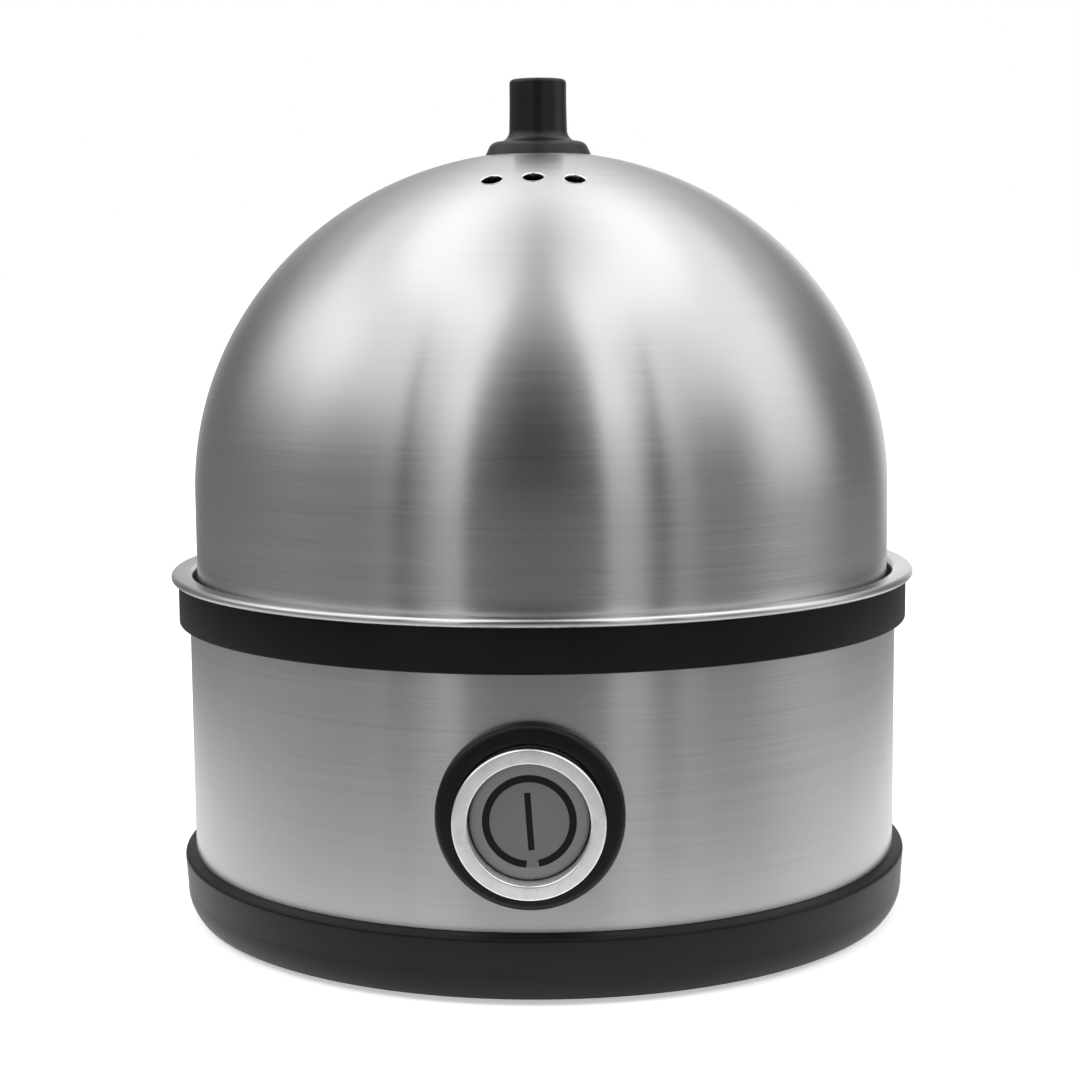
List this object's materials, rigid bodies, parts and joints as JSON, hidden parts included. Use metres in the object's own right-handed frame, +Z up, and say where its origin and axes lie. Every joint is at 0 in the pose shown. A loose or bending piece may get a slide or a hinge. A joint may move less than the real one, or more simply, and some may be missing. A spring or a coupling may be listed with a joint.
{
  "type": "egg boiler",
  "caption": "Domed steel egg boiler: lift-off lid with knob and steam vents over a tray of egg seats and a heated water pan, on a steel-banded base with a push button.",
  "frame": {"origin": "on the upright axis, in the plane the rubber feet stand on", "axes": "+Z up; the push button faces -Y; +X is to the right as seen from the front"},
  "size_m": [0.185, 0.1936, 0.2057],
  "materials": {
    "brushed_steel": "fine circumferential brushing",
    "pan_steel": "satin, polished rim",
    "black_plastic": "fine satin moulding",
    "knob_plastic": "satin phenolic",
    "chrome": "mirror plated",
    "cap_satin": "satin metallised",
    "mark_dark": "smoked light guide",
    "rubber": "moulded",
    "brass": "turned",
    "plated_steel": "zinc plated",
    "aluminium": "cast",
    "element_sheath": "heat tinted",
    "phenolic": "moulded",
    "white_nylon": "natural",
    "lamp_lens": "clear red",
    "wire_brown": "silicone insulation",
    "wire_blue": "silicone insulation",
    "wire_green": "green and yellow insulation"
  },
  "bodies": {
    "lid": {"lid_dome": "brushed_steel", "lid_knob": "knob_plastic", "knob_insert": "brass", "knob_screw": "plated_steel", "knob_washer": "plated_steel"},
    "egg_tray": {"egg_tray": "pan_steel", "tray_handle": "knob_plastic", "tray_handle_screw": "plated_steel", "tray_handle_washer": "plated_steel"},
    "button": {"button_cap": "cap_satin", "button_light_guide": "mark_dark", "switch_plunger": "white_nylon"},
    "base": {"base_shell": "black_plastic", "rubber_feet": "rubber", "housing_band": "brushed_steel", "collar_ring": "black_plastic", "pan_gasket": "rubber", "heating_pan": "pan_steel", "heat_plate": "aluminium", "heating_element": "element_sheath", "element_seals": "white_nylon", "element_tabs": "plated_steel", "thermostat_cap": "aluminium", "thermostat_body": "phenolic", "thermostat_tabs": "plated_steel", "thermostat_clip": "plated_steel", "thermostat_screws": "plated_steel", "thermal_fuse": "white_nylon", "fuse_sleeve": "white_nylon", "fuse_strap": "plated_steel", "pan_brackets": "plated_steel", "base_screws": "plated_steel", "button_bezel": "black_plastic", "chrome_ring": "chrome", "bezel_nut": "black_plastic", "switch_carrier": "white_nylon", "switch_body": "phenolic", "switch_tabs": "plated_steel", "switch_lamp": "lamp_lens", "switch_spring": "plated_steel", "cord_gland": "black_plastic", "gland_nut": "black_plastic", "terminal_block": "white_nylon", "terminal_screws": "brass", "earth_tag": "plated_steel", "push_on_sleeves": "white_nylon", "wire_live": "wire_brown", "wire_neutral": "wire_blue", "wire_earth": "wire_green", "wire_switch_to_thermostat": "wire_brown", "wire_thermostat_to_fuse": "wire_brown", "wire_fuse_to_element": "wire_brown"}
  },
  "joints": [
    {"name": "tray_lift", "type": "slide", "parent": "base", "child": "egg_tray", "axis": [0, 0, 1], "range_m": [0, 0.06]},
    {"name": "lid_lift", "type": "slide", "parent": "egg_tray", "child": "lid", "axis": [0, 0, 1], "range_m": [0, 0.12]},
    {"name": "button_press", "type": "slide", "parent": "base", "child": "button", "axis": [0, 1, 0], "range_m": [0, 0.003], "stiffness_N_per_m": 400, "deforming": ["switch_spring"]}
  ]
}
